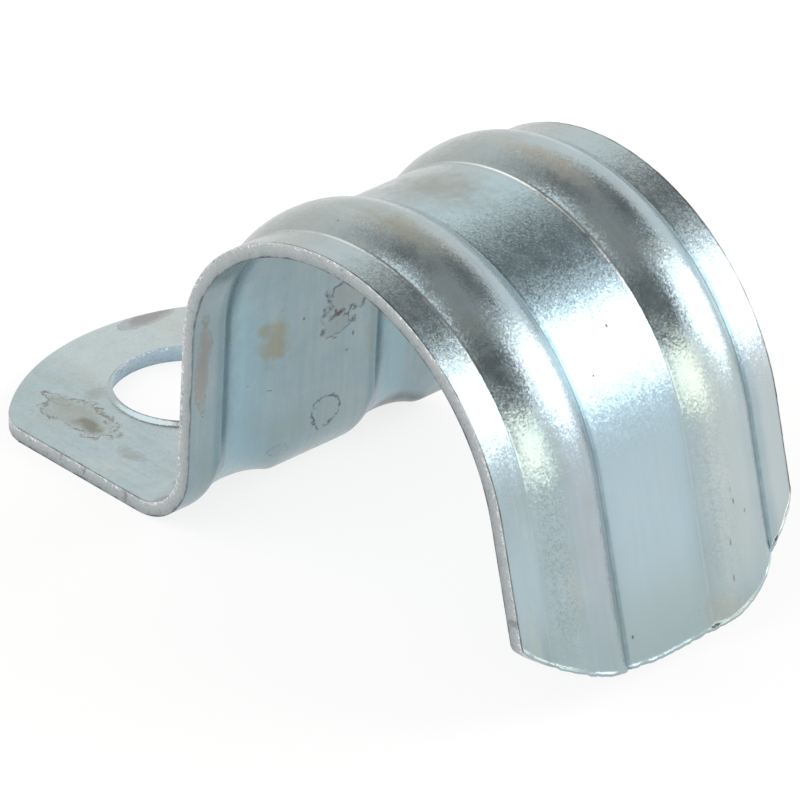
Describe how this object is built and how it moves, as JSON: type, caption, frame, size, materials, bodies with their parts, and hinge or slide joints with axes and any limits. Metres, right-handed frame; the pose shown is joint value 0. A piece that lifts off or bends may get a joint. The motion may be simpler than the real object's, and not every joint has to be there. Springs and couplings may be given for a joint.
{
  "type": "conduit strap",
  "caption": "One-hole conduit strap pressed from steel strip: flat foot with a screw hole, half-round saddle with two raised ribs, and a flared free leg.",
  "frame": {"origin": "middle of the screw hole on the underside of the foot", "axes": "+Z away from the wall that the foot lies on, +X from the foot across the conduit, +Y along the conduit"},
  "size_m": [0.0454, 0.019, 0.0218],
  "materials": {
    "strap": "bright zinc plate with pale blue passivation"
  },
  "bodies": {
    "root": {"strap": "strap"}
  },
  "joints": []
}
